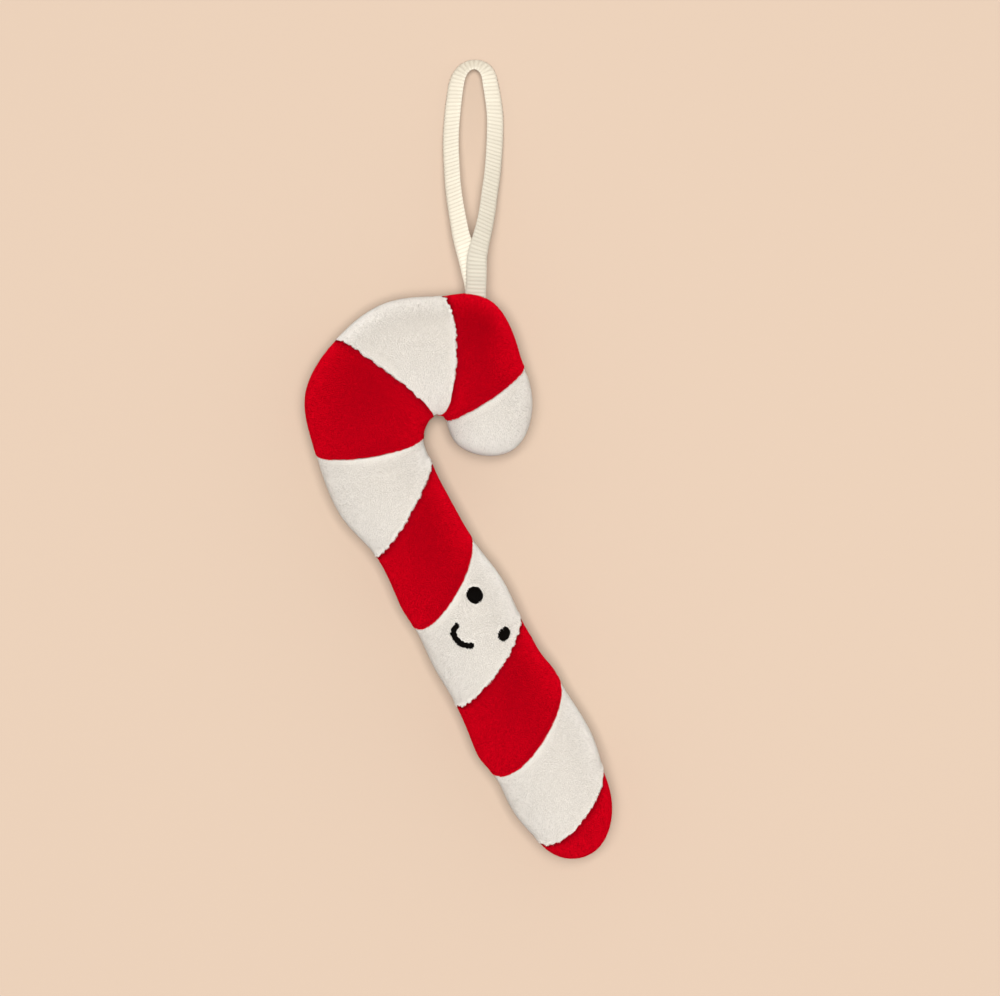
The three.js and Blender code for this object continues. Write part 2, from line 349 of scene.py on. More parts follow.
def new_object(name, points, faces, edges=()):
    """A mesh object with its place in its mesh."""
    mesh = bpy.data.meshes.new(name)
    mesh.from_pydata([tuple(p) for p in points], list(edges), [tuple(f) for f in faces])
    return added(name, mesh)


def grid_faces(rows, sides):
    """Quads between rows of points that each go round once, facing out of them."""
    return [
        (i * sides + j, i * sides + (j + 1) % sides, (i + 1) * sides + (j + 1) % sides, (i + 1) * sides + j)
        for i in range(rows - 1) for j in range(sides)
    ]


def store(mesh, name, values, kind="FLOAT"):
    """Keeps a number or a vector for every point of the mesh under that name."""
    attribute = mesh.attributes.new(name, kind, "POINT")
    field = {"FLOAT": "value", "FLOAT_VECTOR": "vector"}[kind]
    attribute.data.foreach_set(field, np.asarray(values, np.float32).ravel())


def point_values(mesh):
    """The places and normals of a mesh's points."""
    places, normals = np.empty((2, len(mesh.vertices) * 3))
    mesh.vertices.foreach_get("co", places)
    mesh.vertex_normals.foreach_get("vector", normals)
    return places.reshape(-1, 3), normals.reshape(-1, 3)


def outward(obj):
    """Turns every face of a closed mesh outwards."""
    work = bmesh.new()
    work.from_mesh(obj.data)
    bmesh.ops.recalc_face_normals(work, faces=work.faces)
    work.to_mesh(obj.data)
    work.free()


def joined(name, meshes):
    """One object from several meshes, each with its own material."""
    pieces = [added(name, mesh) for mesh in meshes]
    with bpy.context.temp_override(active_object=pieces[0], object=pieces[0], selected_objects=pieces,
                                   selected_editable_objects=pieces):
        bpy.ops.object.join()
    pieces[0].name = name
    return pieces[0]


def triangles(mesh):
    """How many triangles the mesh has."""
    mesh.calc_loop_triangles()
    return len(mesh.loop_triangles)


print("triangles in the floor:", triangles(floor_mesh))

# %% Helpers for Geometry Nodes
def geometry_tree(name, **inputs):
    """A Geometry Nodes tree with a geometry coming in and named inputs for its sizes."""
    tree = bpy.data.node_groups.new(name, "GeometryNodeTree")
    tree.interface.new_socket("Geometry", in_out="INPUT", socket_type="NodeSocketGeometry")
    for title, kind in inputs.items():
        tree.interface.new_socket(title, in_out="INPUT", socket_type=f"NodeSocket{kind}")
    tree.interface.new_socket("Geometry", in_out="OUTPUT", socket_type="NodeSocketGeometry")
    entry = tree.nodes.new("NodeGroupInput")
    return tree, {socket.name: socket for socket in entry.outputs if socket.name}


def read(tree, name, kind="FLOAT"):
    """The attribute of that name."""
    return node(tree, "GeometryNodeInputNamedAttribute", {"Name": name}, data_type=kind)


def write(tree, geometry, name, value, kind="FLOAT", domain="POINT"):
    """The geometry with a value stored under that name."""
    return node(tree, "GeometryNodeStoreNamedAttribute", {"Geometry": geometry, "Name": name, "Value": value},
                data_type=kind, domain=domain)


def close_tree(tree, geometry, material):
    """Ends a tree: instances made real, the material set."""
    real = node(tree, "GeometryNodeRealizeInstances", {0: geometry})
    dressed = node(tree, "GeometryNodeSetMaterial", {"Geometry": real, "Material": material})
    leave = tree.nodes.new("NodeGroupOutput")
    tree.links.new(dressed, leave.inputs[0])


def grown(base, tree, **values):
    """Runs a tree on an object and returns what it makes as a plain mesh."""
    modifier = base.modifiers.new(tree.name, "NODES")
    modifier.node_group = tree
    for item in tree.interface.items_tree:
        if item.in_out == "INPUT" and item.name in values:
            modifier[item.identifier] = values[item.name]
    graph = bpy.context.evaluated_depsgraph_get()
    mesh = bpy.data.meshes.new_from_object(base.evaluated_get(graph))
    base.modifiers.remove(modifier)
    return mesh

# %% [markdown]
# ## Ribbon weave: tape and ribs
#
# Grosgrain ribbon has heavy threads across it, each a small round rib, packed between two straight edges. It
# could be one flat strip with a bump, but the ribs show in the outline and catch the light one by one. So a
# thin tape carries the route, and Geometry Nodes sets a rounded rib across it at every step of the weave,
# turned by two named attributes of the route: the way it runs and the way its width lies. The cloth is cream,
# with painted shade in the grooves, and painted shade that makes it greyer towards the tape's upper end.

# %% The ribbon's cloth
CREAM = rgb(207, 200, 183)
# Painted shade: the grooves between the ribs get this darker cream.
GROOVE_PAINTED_SHADE = rgb(186, 178, 162)
PAINTED_SHADE_DARKEST = 0.65  # how bright the painted shade leaves the tape's upper end, as a share of the rest of the tape
YARNS = 26  # yarns side by side across the width
# Distance from the tape's upper end, and how bright its painted shade leaves it there, as a share.
PAINTED_SHADE_ALONG = [(0, 0.0), (0.010, 0.25), (0.030, 0.48), (0.050, 0.80), (0.065, 1.0)]


def ribbon_cloth():
    """Ribs lighter than their grooves, and the tape greyer towards its upper end, both painted shade, and
    fine yarns along the tape as a bump.
    """
    material, tree, shader = principled("cream_ribbon")
    height, width_at, shade = (node(tree, "ShaderNodeAttribute", attribute_name=name, out="Fac")
                               for name in ("height", "width_at", "shade"))
    # Painted shade: the tape darkens towards its upper end, with a little random tone from rib to rib.
    shade = node(tree, "ShaderNodeMapRange", {"Value": shade, "To Min": PAINTED_SHADE_DARKEST, "To Max": 1.0})
    yarn = maths(tree, "SINE", maths(tree, "MULTIPLY", width_at, YARNS * math.tau))
    # Painted shade: darker cream in the grooves by the rib's height, then darker towards the tape's upper
    # end.
    colour = vectors(tree, "SCALE", mixed(tree, height, GROOVE_PAINTED_SHADE, CREAM), shade)
    bump = {"Height": yarn, "Strength": 0.35, "Distance": 0.00003}
    finish_shader(tree, shader, colour, bump, roughness=0.6, specular=0.25)
    return material


RIBBON_CLOTH = ribbon_cloth()
print("yarn spacing, mm:", round(RIBBON_WIDTH / YARNS / MM, 2))

# %% The tape
TAPE_THICK = 0.00030
TAPE_INSET = 0.98  # the tape's width as a share of the ribs'
TAPE_CORNERS = 12
SQUARENESS = 0.25  # 1 gives the tape a round section, and near 0 a square one


def loft(name, places, across, facing, width, thick):
    """A closed strip along the route, with a rounded section."""
    turns = np.linspace(0, 2 * np.pi, TAPE_CORNERS, endpoint=False)
    sides = np.sign(np.cos(turns)) * np.abs(np.cos(turns)) ** SQUARENESS * width / 2
    lifts = np.sin(turns) * thick / 2
    rings = places[:, None] + across[:, None] * sides[None, :, None] + facing[:, None] * lifts[None, :, None]
    faces = grid_faces(len(places), TAPE_CORNERS)
    faces.append(tuple(range(TAPE_CORNERS))[::-1])
    faces.append(tuple((len(places) - 1) * TAPE_CORNERS + j for j in range(TAPE_CORNERS)))
    made = new_object(name, rings.reshape(-1, 3), faces)
    store(made.data, "width_at", np.tile(sides / width, len(places)))
    return made


tape = loft("tape", ribbon_places, ribbon_across, ribbon_facing, RIBBON_WIDTH * TAPE_INSET, TAPE_THICK)
outward(tape)
tape.data.materials.append(RIBBON_CLOTH)
store(tape.data, "height", np.zeros(len(tape.data.vertices)))
# Painted shade along the tape, darkest at its upper end.
tape_painted_shade = np.interp(np.arange(len(ribbon_places)) * TAPE_STEP, *zip(*PAINTED_SHADE_ALONG))
store(tape.data, "shade", np.repeat(tape_painted_shade, TAPE_CORNERS))
print("tape triangles:", triangles(tape.data))

# %% The tree for ribs
RIB_PITCH = 0.00095
RIB_THICK = 0.00052
RIB_OVERLAP = 1.2  # a rib's width as a share of the pitch
RIB_END_SHARPNESS = 6.0  # the higher, the shorter a rib's rounded end
RIB_END_LEAST = 0.25  # how thick its very end still is, as a share of its middle
RIB_UNEVENNESS = 0.12

rib_tree, rib_sizes = geometry_tree("ribs", Width="Float", Pitch="Float", Thickness="Float")
bar = node(rib_tree, "GeometryNodeMeshCylinder",
           {"Vertices": 8, "Side Segments": 8, "Radius": 0.5, "Depth": 1.0}, out="Mesh")
x, y, z = parts(rib_tree, node(rib_tree, "GeometryNodeInputPosition"))
doubled = maths(rib_tree, "MULTIPLY", maths(rib_tree, "ABSOLUTE", z), 2.0)
steep = maths(rib_tree, "POWER", doubled, RIB_END_SHARPNESS)
full = maths(rib_tree, "POWER", maths(rib_tree, "SUBTRACT", 1.0, steep), 0.5)
full = maths(rib_tree, "MAXIMUM", full, RIB_END_LEAST)
x_out, y_out = (maths(rib_tree, "MULTIPLY", value, full) for value in (x, y))
rounded = node(rib_tree, "ShaderNodeCombineXYZ", {0: x_out, 1: y_out, 2: z})
bar = node(rib_tree, "GeometryNodeSetPosition", {"Geometry": bar, "Position": rounded})
rise = maths(rib_tree, "MULTIPLY", maths(rib_tree, "ABSOLUTE", y), 2.0)
bar = write(rib_tree, write(rib_tree, bar, "height", rise), "width_at", z)
bar = node(rib_tree, "GeometryNodeSetShadeSmooth", {"Geometry": bar})
turned = node(rib_tree, "FunctionNodeAlignRotationToVector",
              {"Vector": read(rib_tree, "across", "FLOAT_VECTOR")}, axis="Z")
turned = node(rib_tree, "FunctionNodeAlignRotationToVector",
              {"Rotation": turned, "Vector": read(rib_tree, "run", "FLOAT_VECTOR")},
              axis="X", pivot_axis="Z")
size = node(rib_tree, "ShaderNodeCombineXYZ",
            {0: rib_sizes["Pitch"], 1: rib_sizes["Thickness"], 2: rib_sizes["Width"]})
ribs = node(rib_tree, "GeometryNodeInstanceOnPoints",
            {"Points": rib_sizes["Geometry"], "Instance": bar, "Rotation": turned, "Scale": size})
close_tree(rib_tree, ribs, RIBBON_CLOTH)
print("nodes in the rib tree:", len(rib_tree.nodes))

# %% The ribbon
rib_places, rib_run, rib_across, _ = tape_frames(even_route(loop_keys, RIB_PITCH)[0])
rib_line = new_object("rib line", rib_places, [], [(i, i + 1) for i in range(len(rib_places) - 1)])
store(rib_line.data, "run", rib_run, "FLOAT_VECTOR")
store(rib_line.data, "across", rib_across, "FLOAT_VECTOR")
# Painted shade along the tape, less a random tone for each rib.
rib_painted_shade_and_tone = np.interp(np.arange(len(rib_places)) * RIB_PITCH, *zip(*PAINTED_SHADE_ALONG))
rib_painted_shade_and_tone -= np.random.default_rng(21).uniform(0, RIB_UNEVENNESS, len(rib_places))
store(rib_line.data, "shade", rib_painted_shade_and_tone)
rib_mesh = grown(rib_line, rib_tree, Width=RIBBON_WIDTH, Pitch=RIB_PITCH * RIB_OVERLAP, Thickness=RIB_THICK)
bpy.data.objects.remove(rib_line)
print("ribs:", len(rib_places), "triangles:", triangles(rib_mesh))

ribbon = joined("ribbon_cord", [tape.data, rib_mesh])
bpy.data.objects.remove(tape)

# %% [markdown]
# ## The stuffed tube
#
# The body is one tube of plush, sewn from ten panels and filled until it is firm. Its seams are slanted
# rings. Each ring is an ellipse between a point on the cane's outer edge and one on its inner edge, and its
# crown sags off the straight line between them. The solids follow that rule with few sides. Here the same
# rule gives a fine grid: rows go along the cane, closer together by the seams, and columns go round it.

# %% Seams and edges
SEAMS = [  # outer edge, inner edge and sag of the crown, from the tip of the hook to the foot of the shaft
    ((0.0269, 0.0398), (0.0044, 0.0384), (0, -0.0024)),
    ((0.0179, 0.0648), (0.0037, 0.0399), (0.0038, -0.0022)),
    ((-0.0094, 0.0681), (0.0022, 0.0405), (0.0012, 0.0005)),
    ((-0.0270, 0.0468), (-0.0021, 0.0375), (-0.0010, -0.0027)),
    ((-0.0267, 0.0179), (-0.0034, 0.0311), (0, -0.0029)),
    ((-0.0265, -0.0006), (-0.0040, 0.0112), (0, -0.0048)),
    ((-0.0276, -0.0228), (-0.0032, -0.0123), (0, -0.0039)),
    ((-0.0275, -0.0414), (-0.0027, -0.0304), (0, -0.0057)),
    ((-0.0264, -0.0609), (-0.0041, -0.0531), (0, -0.0051)),
]
BELLIES = [  # outer and inner edge halfway between two seams
    ((0.0278, 0.0575), (0.0042, 0.0392)), ((0.0047, 0.0699), (0.0031, 0.0403)),
    ((-0.0218, 0.0605), (0.0002, 0.0393)), ((-0.0293, 0.0310), (-0.0030, 0.0345)),
    ((-0.0268, 0.0085), (-0.0040, 0.0190)), ((-0.0277, -0.0120), (-0.0026, -0.0015)),
    ((-0.0283, -0.0330), (-0.0029, -0.0205)), ((-0.0281, -0.0515), (-0.0024, -0.0440)),
]
# The rounded ends: where the pole lies, how far along the cane the narrowing starts, and halfway to the pole
# how much fuller than an ellipse the end is, as a share, and how far it swings sideways.
HOOK_END = {"pole": (0.0143, 0.0238), "shoulder": 0.0398, "fullness": 0.09, "swing": -0.0008}
SHAFT_END = {"pole": (-0.0166, -0.0700), "shoulder": -0.0530, "fullness": 0.02, "swing": 0.0}
SEAM_DEPTH, BELLY_DEPTH = 0.0116, 0.0122
SIDES = 120
ROWS = [0.0, 0.012, 0.03, 0.06, 0.10, 0.15, 0.21, 0.28, 0.355, 0.43, 0.50]
ROWS += [1 - share for share in ROWS[-2::-1]]
END_ROWS = 20
END_SPACING = 1.25  # above 1, the rows crowd together towards the pole
PANELS = len(SEAMS) + 1

turns = np.linspace(0, 2 * np.pi, SIDES, endpoint=False)
seam_sags = np.array([sag for _, _, sag in SEAMS])
print("panels:", PANELS)

# %% Rings round the tube
def edge_keys(side):
    """Seam and belly points of one edge, in turn."""
    points = [SEAMS[0][side]]
    for belly, seam in zip(BELLIES, SEAMS[1:]):
        points += [belly[side], seam[side]]
    return [(*p, 0) for p in points]


def rings_at(stations):
    """The tube's rings at these stations, where seam number k lies at station k."""
    stations = np.asarray(stations, float)
    along = (stations - 1) / (len(SEAMS) - 1)
    outer, inner = (smooth_curve(edge_keys(side), along) for side in (0, 1))
    before = np.minimum(np.floor(stations).astype(int), len(SEAMS) - 1)
    part = (stations - before)[:, None]
    sag = seam_sags[before - 1] * (1 - part) + seam_sags[before] * part
    depth = SEAM_DEPTH + (BELLY_DEPTH - SEAM_DEPTH) * np.sin(np.pi * stations) ** 2
    crown = np.column_stack([sag, depth])
    centre = (outer + inner) / 2
    centre[:, 2] = MID_HEIGHT
    chord = (inner - outer) / 2
    return (centre[:, None] + chord[:, None] * np.cos(turns)[None, :, None]
            + crown[:, None] * np.sin(turns)[None, :, None])


def rounded_share(end, y):
    """How wide a rounded end still is at height y, as a share of its full width."""
    past = np.clip((end["shoulder"] - y) / (end["shoulder"] - end["pole"][1]), 0, 1)
    return np.sqrt(1 - past**2)


def end_rings(end, seam):
    """The rings of a rounded end, from its seam towards its pole, and the pole."""
    pole = np.array([*end["pole"], MID_HEIGHT])
    start = seam.mean(0)
    rings = []
    for i in range(END_ROWS):
        share = math.sin(math.pi / 2 * (1 - (1 - i / END_ROWS) ** END_SPACING))
        y = seam[:, 1] * (1 - share) + pole[1] * share
        halfway = math.sin(math.pi * share)
        fullness = 1 + end["fullness"] * halfway
        width = fullness * rounded_share(end, y) / rounded_share(end, seam[:, 1])
        middle = start * (1 - share) + pole * share
        x = middle[0] + end["swing"] * halfway + (seam[:, 0] - start[0]) * width
        z = MID_HEIGHT + (seam[:, 2] - MID_HEIGHT) * width
        rings.append(np.column_stack([x, y, z]))
    return rings, pole


def sewn_skin():
    """All rings of the tube in one stack, the two poles, and the row at which each seam lies."""
    hook_rings, hook_pole = end_rings(HOOK_END, rings_at([1])[0])
    shaft_rings, shaft_pole = end_rings(SHAFT_END, rings_at([len(SEAMS)])[0])
    stations = [k + share for k in range(1, len(SEAMS)) for share in ROWS[:-1]]
    stack = [*hook_rings[:0:-1], *rings_at(stations), *shaft_rings]
    seams = [END_ROWS - 1 + k * (len(ROWS) - 1) for k in range(len(SEAMS))]
    return np.array(stack), hook_pole, shaft_pole, seams


skin, HOOK_POLE, SHAFT_POLE, SEAM_ROWS = sewn_skin()
print("rows and columns:", skin.shape[:2], "seams at rows", SEAM_ROWS)

# %% Faces and directions on the tube
def fan(centre, ring, outward_last, sides):
    """Triangles from a centre point to a ring of points that starts at number ring."""
    turn = [(ring + j, ring + (j + 1) % sides) for j in range(sides)]
    return [(centre, a, b) if outward_last else (centre, b, a) for a, b in turn]


def row_normals(stack, first_pole, last_pole):
    """The way the skin faces at each point of its grid."""
    around = np.roll(stack, -1, 1) - np.roll(stack, 1, 1)
    ends = [np.broadcast_to(pole, (1, stack.shape[1], 3)) for pole in (first_pole, last_pole)]
    padded = np.concatenate([ends[0], stack, ends[1]])
    return unit(np.cross(around, padded[2:] - padded[:-2]))


print("faces in one row:", len(grid_faces(2, SIDES)))

# %% [markdown]
# ## Stuffing
#
# A sewn toy gets its shape from the filling that pushes against the cloth, while the thread holds the seams
# in. A cloth simulation does that: the seam rings are pinned, the cloth gets a few parts in a hundred more
# length than its pattern, and pressure from inside lifts it. It puffs between the seams and puckers beside
# them, as no smooth formula would. The solver is tuned for cloth of the size of a shirt, so the toy is
# simulated twenty times as large, on every other row and column. Only the movement square to the skin is
# kept, up to a cap outwards and hardly any inwards, so that the toy keeps its outline and its seams.

# %% Stuffing a copy of the tube
SIM_SCALE = 20
START_INSET = 0.0003  # the cloth starts this far inside the skin, and swells from there
FRAMES = 20
CLOTH = {
    "quality": 5,
    "mass": 0.3,
    "tension_stiffness": 15,
    "compression_stiffness": 15,
    "shear_stiffness": 5,
    "bending_stiffness": 0.5,
    "vertex_group_mass": "seams",
    "shrink_min": -0.03,
    "use_pressure": True,
    "uniform_pressure_force": 10.0,
}


def lifted(stack, scale):
    """How far pressure moves every point of the skin outwards, found on a larger copy with its seams held."""
    rows, sides = stack.shape[:2]
    held = [(row - 1) // 2 for row in SEAM_ROWS]
    poles = HOOK_POLE * scale, SHAFT_POLE * scale
    large = stack * scale
    normals = row_normals(large, *poles)
    free = np.ones((rows, 1, 1))
    free[held] = 0
    start = large - normals * START_INSET * scale * free
    faces = grid_faces(rows, sides) + fan(rows * sides, 0, False, sides)
    faces += fan(rows * sides + 1, (rows - 1) * sides, True, sides)
    body = new_object("stuffed tube", [*start.reshape(-1, 3), *poles], faces)
    pins = body.vertex_groups.new(name="seams")
    pins.add([row * sides + j for row in held for j in range(sides)], 1.0, "REPLACE")
    cloth = body.modifiers.new("stuffing", "CLOTH")
    for name, value in CLOTH.items():
        setattr(cloth.settings, name, value)
    cloth.settings.effector_weights.gravity = 0
    cloth.point_cache.frame_start = 1
    cloth.point_cache.frame_end = FRAMES
    for step in range(1, FRAMES + 1):
        SCENE.frame_set(step)
    mesh = bpy.data.meshes.new_from_object(body.evaluated_get(bpy.context.evaluated_depsgraph_get()))
    after = point_values(mesh)[0][:-2].reshape(large.shape)
    bpy.data.meshes.remove(mesh)
    bpy.data.objects.remove(body)
    SCENE.frame_set(1)
    return ((after - large) * normals).sum(-1) / scale


print("simulated at", SIM_SCALE, "times its size, over", FRAMES, "steps")

# %% The movement, evened out and capped
MOVE_CAP = 0.0006
PUCKER_CAP = 0.00005
CALMING = 3  # how many times the movement is evened out between neighbours, as stiff plush does


def spread_out(coarse, rows, columns):
    """Values of every other row and column, filled in for all of them."""
    row = np.clip((np.arange(rows) - 1) / 2, 0, len(coarse) - 1)
    upper = np.minimum(row.astype(int), len(coarse) - 2)
    part = (row - upper)[:, None]
    tall = coarse[upper] * (1 - part) + coarse[upper + 1] * part
    wide = np.empty((rows, columns))
    wide[:, ::2] = tall
    wide[:, 1::2] = (tall + np.roll(tall, -1, 1)) / 2
    return wide


def calmed(values):
    """The values, each evened out with its neighbours."""
    wide = np.roll(values, 1, 1) + 2 * values + np.roll(values, -1, 1)
    tall = np.concatenate([wide[:1], wide, wide[-1:]])
    return (tall[:-2] + 2 * tall[1:-1] + tall[2:]) / 16


lift = lifted(skin[1::2, ::2], SIM_SCALE)
for _ in range(CALMING):
    lift = calmed(lift)
lift = spread_out(lift, *skin.shape[:2])
lift[SEAM_ROWS] = 0
print("moved out by the stuffing, mm, lowest, middle, highest:",
      (np.percentile(lift, [1, 50, 99]) / MM).round(2))
skin = skin + row_normals(skin, HOOK_POLE, SHAFT_POLE) * np.clip(lift, -PUCKER_CAP, MOVE_CAP)[..., None]

# %% [markdown]
# ## Dents and bulges
#
# Filling is pushed in by hand and lies in lumps, so a real toy is never quite even. Every lump or hollow is
# a soft swelling that dies away from its middle, like a drop of heat. The simulation can't know where the
# lumps lie, so they are listed one by one.

# %% Dents and bulges
DENTS = [  # place, how far it reaches, how deep it is: a bulge has a negative depth
    ((-0.0270, 0.0028, MID_HEIGHT), 0.0050, -0.0011),
    ((-0.0281, -0.0372, MID_HEIGHT), 0.0048, -0.0011),
    ((-0.0035, -0.0212, MID_HEIGHT), 0.0030, 0.0003),
    ((0.0231, 0.0621, MID_HEIGHT), 0.0040, -0.0005),
    ((-0.0028, -0.0272, MID_HEIGHT), 0.0030, -0.0005),
    ((0.0281, 0.0475, MID_HEIGHT), 0.0060, -0.0004),
]
DENT_SHAPE = (1, 1, 0.6)  # below 1, a dent is longer in that direction

ways = row_normals(skin, HOOK_POLE, SHAFT_POLE)
for place, reach, depth in DENTS:
    from_dent = np.linalg.norm((skin - np.array(place)) * DENT_SHAPE, axis=-1, keepdims=True)
    skin = skin - ways * depth * np.exp(-((from_dent / reach) ** 2))
skin[:, :, 2] = np.maximum(skin[:, :, 2], 0)
print("dents and bulges pressed in by hand:", len(DENTS))

# %% [markdown]
# ## The cloth under the pile
#
# The skin is what the tips of the pile reach, so the cloth lies a pile's height under it. At a seam the pile
# lies flatter, and the cloth comes nearer to the skin. In the inner corner of the hook three seams lie within
# a few millimetres and the pile is squashed, so the cloth comes nearer still. A hand-sewn seam also wanders a
# little from side to side, more where the long white pile is caught in it.

# %% The cloth's own grid
PILE_HEIGHT = 0.0007  # the cloth lies this far under the tips of its pile
UNDERSIDE = 0.3  # what is left of the pile's height where the toy lies on it
SEAM_REACH = 0.0024  # how far from a seam the pile still lies flatter
FLATTENED = 0.4  # what is left of the pile's height at a seam
SQUEEZED = 0.05  # and where there is no room for it
ROOM = (0.002, 0.009)  # a panel this short leaves its pile no room, and one this long leaves it all
UPPER = (1, 2, 2, 3, 4, 5, 6, 7, 8)  # for each seam the panel, counted from 0, whose pile lies over the other
# That pile reaches this far over the seam, so the seam lies as far back under it.
OVERHANG = (0.0002, 0.0003, 0.0003, -0.0004, 0.0004, -0.0006, 0.0007, 0.0006, 0.0007)
WANDERING = 0.0003  # how far a seam wanders where white pile lies over it
RED_WANDERING = 0.3  # how much as far it does under red pile
WANDERING_REACH = 0.0030
FLOOR_CLEARANCE = 0.00005

dice = np.random.default_rng(7)


def cloth_rows(stack):
    """The cloth's own grid, under the skin, and how much room the pile has along each seam."""
    normals = row_normals(stack, HOOK_POLE, SHAFT_POLE)
    steps = np.linalg.norm(np.diff(stack, axis=0), axis=-1)
    run = np.concatenate([np.zeros((1, SIDES)), np.cumsum(steps, 0)])
    along = unit(np.gradient(stack, axis=0))
    edges = [0, *SEAM_ROWS, len(stack) - 1]
    inset = np.full(run.shape, PILE_HEIGHT)
    shift = np.zeros(run.shape)
    rooms = []
    for k, (upper, overhang) in enumerate(zip(UPPER, OVERHANG), 1):
        before, seam, after = (run[edges[k + i]] for i in (-1, 0, 1))
        room = smooth_step(np.minimum(seam - before, after - seam), *ROOM)
        near = 1 - smooth_step(np.abs(run - seam), 0, SEAM_REACH)
        share = SQUEEZED + (FLATTENED - SQUEEZED) * room
        inset = np.minimum(inset, PILE_HEIGHT * (1 - (1 - share) * near))
        white_over = upper % 2 == 0
        moves = dice.uniform(-1, 1, SIDES) * WANDERING * (1 if white_over else RED_WANDERING) * room
        back = overhang * room
        moves += back if upper == k else -back
        shift += moves * (1 - smooth_step(np.abs(run - seam), 0, WANDERING_REACH))
        rooms.append(room)
    lowered = stack - normals * inset[..., None] + along * shift[..., None]
    lowered[:, :, 2] = np.maximum(lowered[:, :, 2], FLOOR_CLEARANCE + PILE_HEIGHT * UNDERSIDE)
    return lowered, rooms


cloth_grid, seam_rooms = cloth_rows(skin)
print("least room for pile at each seam:", [round(float(room.min()), 2) for room in seam_rooms])

# %% [markdown]
# ## Panels as closed shells
#
# Each panel is cut from its own cloth. At its seams the cloth turns in for a seam allowance and is closed
# inside, so every panel is a closed shell and can be told from its neighbours. A hair's breadth between two
# panels keeps their faces from lying in one another.

# %% Panels as closed shells
SEAM_CLEARANCE = 0.00006
ALLOWANCE = (0.94, 0.80, 0.40)  # rings inside the seam, as shares of its size

seam_ahead = {}
for row in SEAM_ROWS:
    seam_ring = cloth_grid[row]
    arms = seam_ring - seam_ring.mean(0)
    seam_ahead[row] = unit(np.cross(arms, np.roll(arms, -1, 0)).sum(0))


def panel_rows(index):
    """The rows of one panel, from the seam before it to the seam after it."""
    first = 0 if index == 0 else SEAM_ROWS[index - 1]
    last = len(cloth_grid) - 1 if index == PANELS - 1 else SEAM_ROWS[index]
    rows = cloth_grid[first:last + 1].copy()
    if index > 0:
        rows[0] += seam_ahead[first] * SEAM_CLEARANCE
    if index < PANELS - 1:
        rows[-1] -= seam_ahead[last] * SEAM_CLEARANCE
    return rows


def turned_in(ring, share):
    """A seam's ring, drawn in towards its middle."""
    return ring.mean(0) + (ring - ring.mean(0)) * share


def pole_under(ring, pole):
    """An end's pole, moved in as far as the ring beside it was."""
    return pole + unit(ring.mean(0) - pole) * PILE_HEIGHT


def panel_shell(index, name, closed):
    """One panel's cloth as a mesh: its outer skin alone, or closed with the cloth turned in at its seams."""
    rows = panel_rows(index)
    stack = list(rows)
    if closed and index > 0:
        stack = [turned_in(rows[0], share) for share in ALLOWANCE[::-1]] + stack
    if closed and index < PANELS - 1:
        stack += [turned_in(rows[-1], share) for share in ALLOWANCE]
    points = [p for ring in stack for p in ring]
    faces = grid_faces(len(stack), SIDES)
    if closed or index == 0:
        points.append(pole_under(rows[0], HOOK_POLE) if index == 0 else rows[0].mean(0))
        faces += fan(len(points) - 1, 0, False, SIDES)
    if closed or index == PANELS - 1:
        points.append(pole_under(rows[-1], SHAFT_POLE) if index == PANELS - 1 else rows[-1].mean(0))
        faces += fan(len(points) - 1, (len(stack) - 1) * SIDES, True, SIDES)
    return new_object(name, points, faces)


def finished(obj, material):
    """One subdivision, smooth shading and a material, as a plain mesh."""
    modifier = obj.modifiers.new("finer", "SUBSURF")
    modifier.levels = modifier.render_levels = 1
    graph = bpy.context.evaluated_depsgraph_get()
    mesh = bpy.data.meshes.new_from_object(obj.evaluated_get(graph))
    obj.modifiers.remove(modifier)
    obj.data = mesh
    mesh.shade_smooth()
    mesh.materials.clear()
    mesh.materials.append(material)
    return obj


print("seam rings face along the cane:", [v.round(2).tolist() for v in list(seam_ahead.values())[:2]])

# %% [markdown]
# ## Plush colours
#
# Plush has two layers to dye: a knitted backing that hardly shows, and the pile. Seen from above, pile is
# bright at its tips and dark at its roots, where little light gets in. One smooth colour with a bump would
# miss that, so every tuft carries its own height and shade as attributes, and the material mixes its colour
# from them. Red gets deep roots. White cloth bounces light about inside, so its roots stay pale.

# %% Plush colours
NAP = (-0.4924, -0.8704, 0.0)  # the pile is brushed down the cane
RED = {"name": "red_plush", "ground": (0.20, 0.0003, 0.004, 1), "root": (0.22, 0.0003, 0.004, 1),
       "tip": (0.98, 0.001, 0.016, 1)}
WHITE = {"name": "white_plush", "ground": (0.45, 0.42, 0.38, 1), "root": (0.62, 0.58, 0.53, 1),
         "tip": (0.90, 0.86, 0.80, 1)}
CLOUDS = 0.05  # how far the dye of the backing comes and goes
CLOUD_SCALE = 3000.0
LOOP_SCALE = 2500.0  # knitted loops to the metre
OWN_SHADE = 0.03  # how far the shade of one tuft lies from the next


def cloth_material(dye):
    """The knitted backing: fine loops, darker than the pile, because it lies in its shade."""
    material, tree, shader = principled(dye["name"] + "_backing")
    place = node(tree, "ShaderNodeTexCoord", out="Object")
    clouds = node(tree, "ShaderNodeTexNoise", {"Vector": place, "Scale": CLOUD_SCALE, "Detail": 3.0}, "Fac")
    colour = mixed(tree, maths(tree, "MULTIPLY", clouds, CLOUDS), dye["ground"], dye["tip"])
    loops = node(tree, "ShaderNodeTexVoronoi", {"Vector": place, "Scale": LOOP_SCALE}, out="Distance")
    bump = {"Height": loops, "Strength": 0.2, "Distance": 0.0001}
    finish_shader(tree, shader, colour, bump, roughness=0.95, specular=0.0)
    return material


